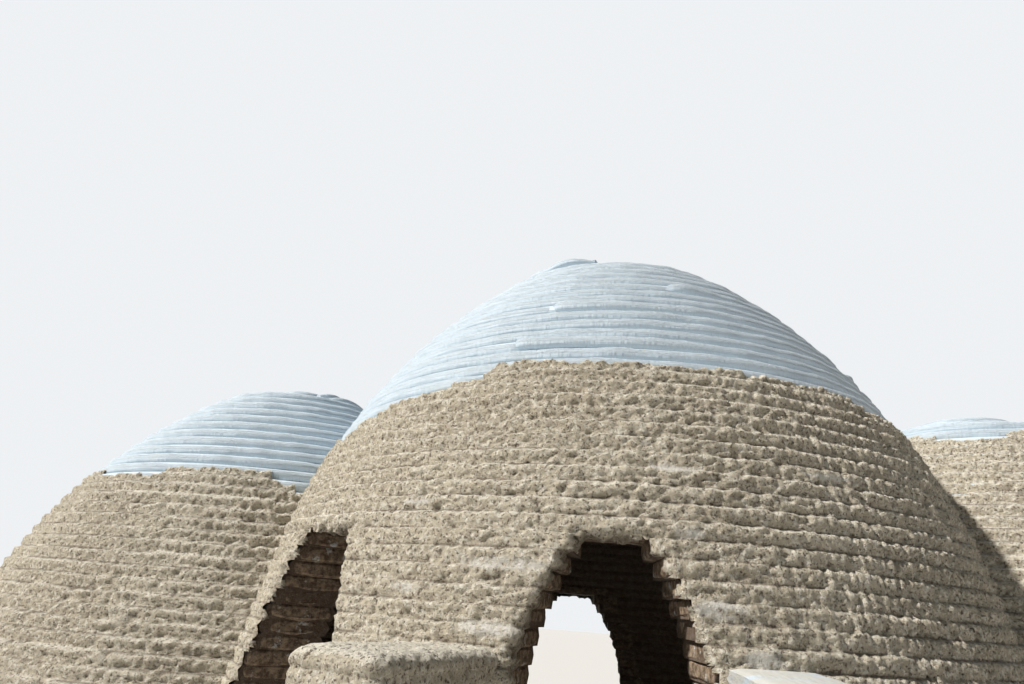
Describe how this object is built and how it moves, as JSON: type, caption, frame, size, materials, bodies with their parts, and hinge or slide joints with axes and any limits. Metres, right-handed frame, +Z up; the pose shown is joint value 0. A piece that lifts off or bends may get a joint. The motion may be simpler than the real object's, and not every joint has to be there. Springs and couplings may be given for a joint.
{
  "type": "adobe house",
  "caption": "Dome house of coiled earth-filled bags: a tall middle dome with pointed doorways, a lower dome against each side, a rough mud coat below and bare white bags above.",
  "frame": {"origin": "On the ground, on the vertical axis of the middle dome, which is the centre of the footprint.", "axes": "+Z up, -Y out through the front doorway, +X to the right as seen from the front."},
  "size_m": [8.7568, 5.1953, 3.648],
  "materials": {
    "earth_bag": "dusty woven",
    "mud": "rough hand-laid",
    "bag": "woven matt"
  },
  "bodies": {
    "root": {"front_left_pier": "earth_bag", "left_pier": "earth_bag", "back_left_pier": "earth_bag", "back_right_pier": "earth_bag", "right_pier": "earth_bag", "front_right_pier": "earth_bag", "front_left_coat": "mud", "left_coat": "mud", "back_left_coat": "mud", "back_right_coat": "mud", "right_coat": "mud", "front_right_coat": "mud", "front_haunch": "earth_bag", "left_haunch": "earth_bag", "right_haunch": "earth_bag", "back_haunch": "earth_bag", "front_haunch_coat": "mud", "left_haunch_coat": "mud", "right_haunch_coat": "mud", "back_haunch_coat": "mud", "shoulder_courses": "bag", "upper_courses": "bag", "crown_coil": "bag", "crown_bag": "bag", "left_dome_front_wall": "earth_bag", "left_dome_back_wall": "earth_bag", "left_dome_vault": "bag", "left_dome_front_coat": "mud", "left_dome_back_coat": "mud", "left_dome_crown": "bag", "right_dome_front_wall": "earth_bag", "right_dome_back_wall": "earth_bag", "right_dome_vault": "bag", "right_dome_front_coat": "mud", "right_dome_back_coat": "mud", "right_dome_crown": "bag", "left_wing_wall": "earth_bag", "left_wing_coat": "mud", "right_wing_wall": "earth_bag", "right_wing_coat": "mud", "right_wing_cap": "bag"}
  },
  "joints": []
}
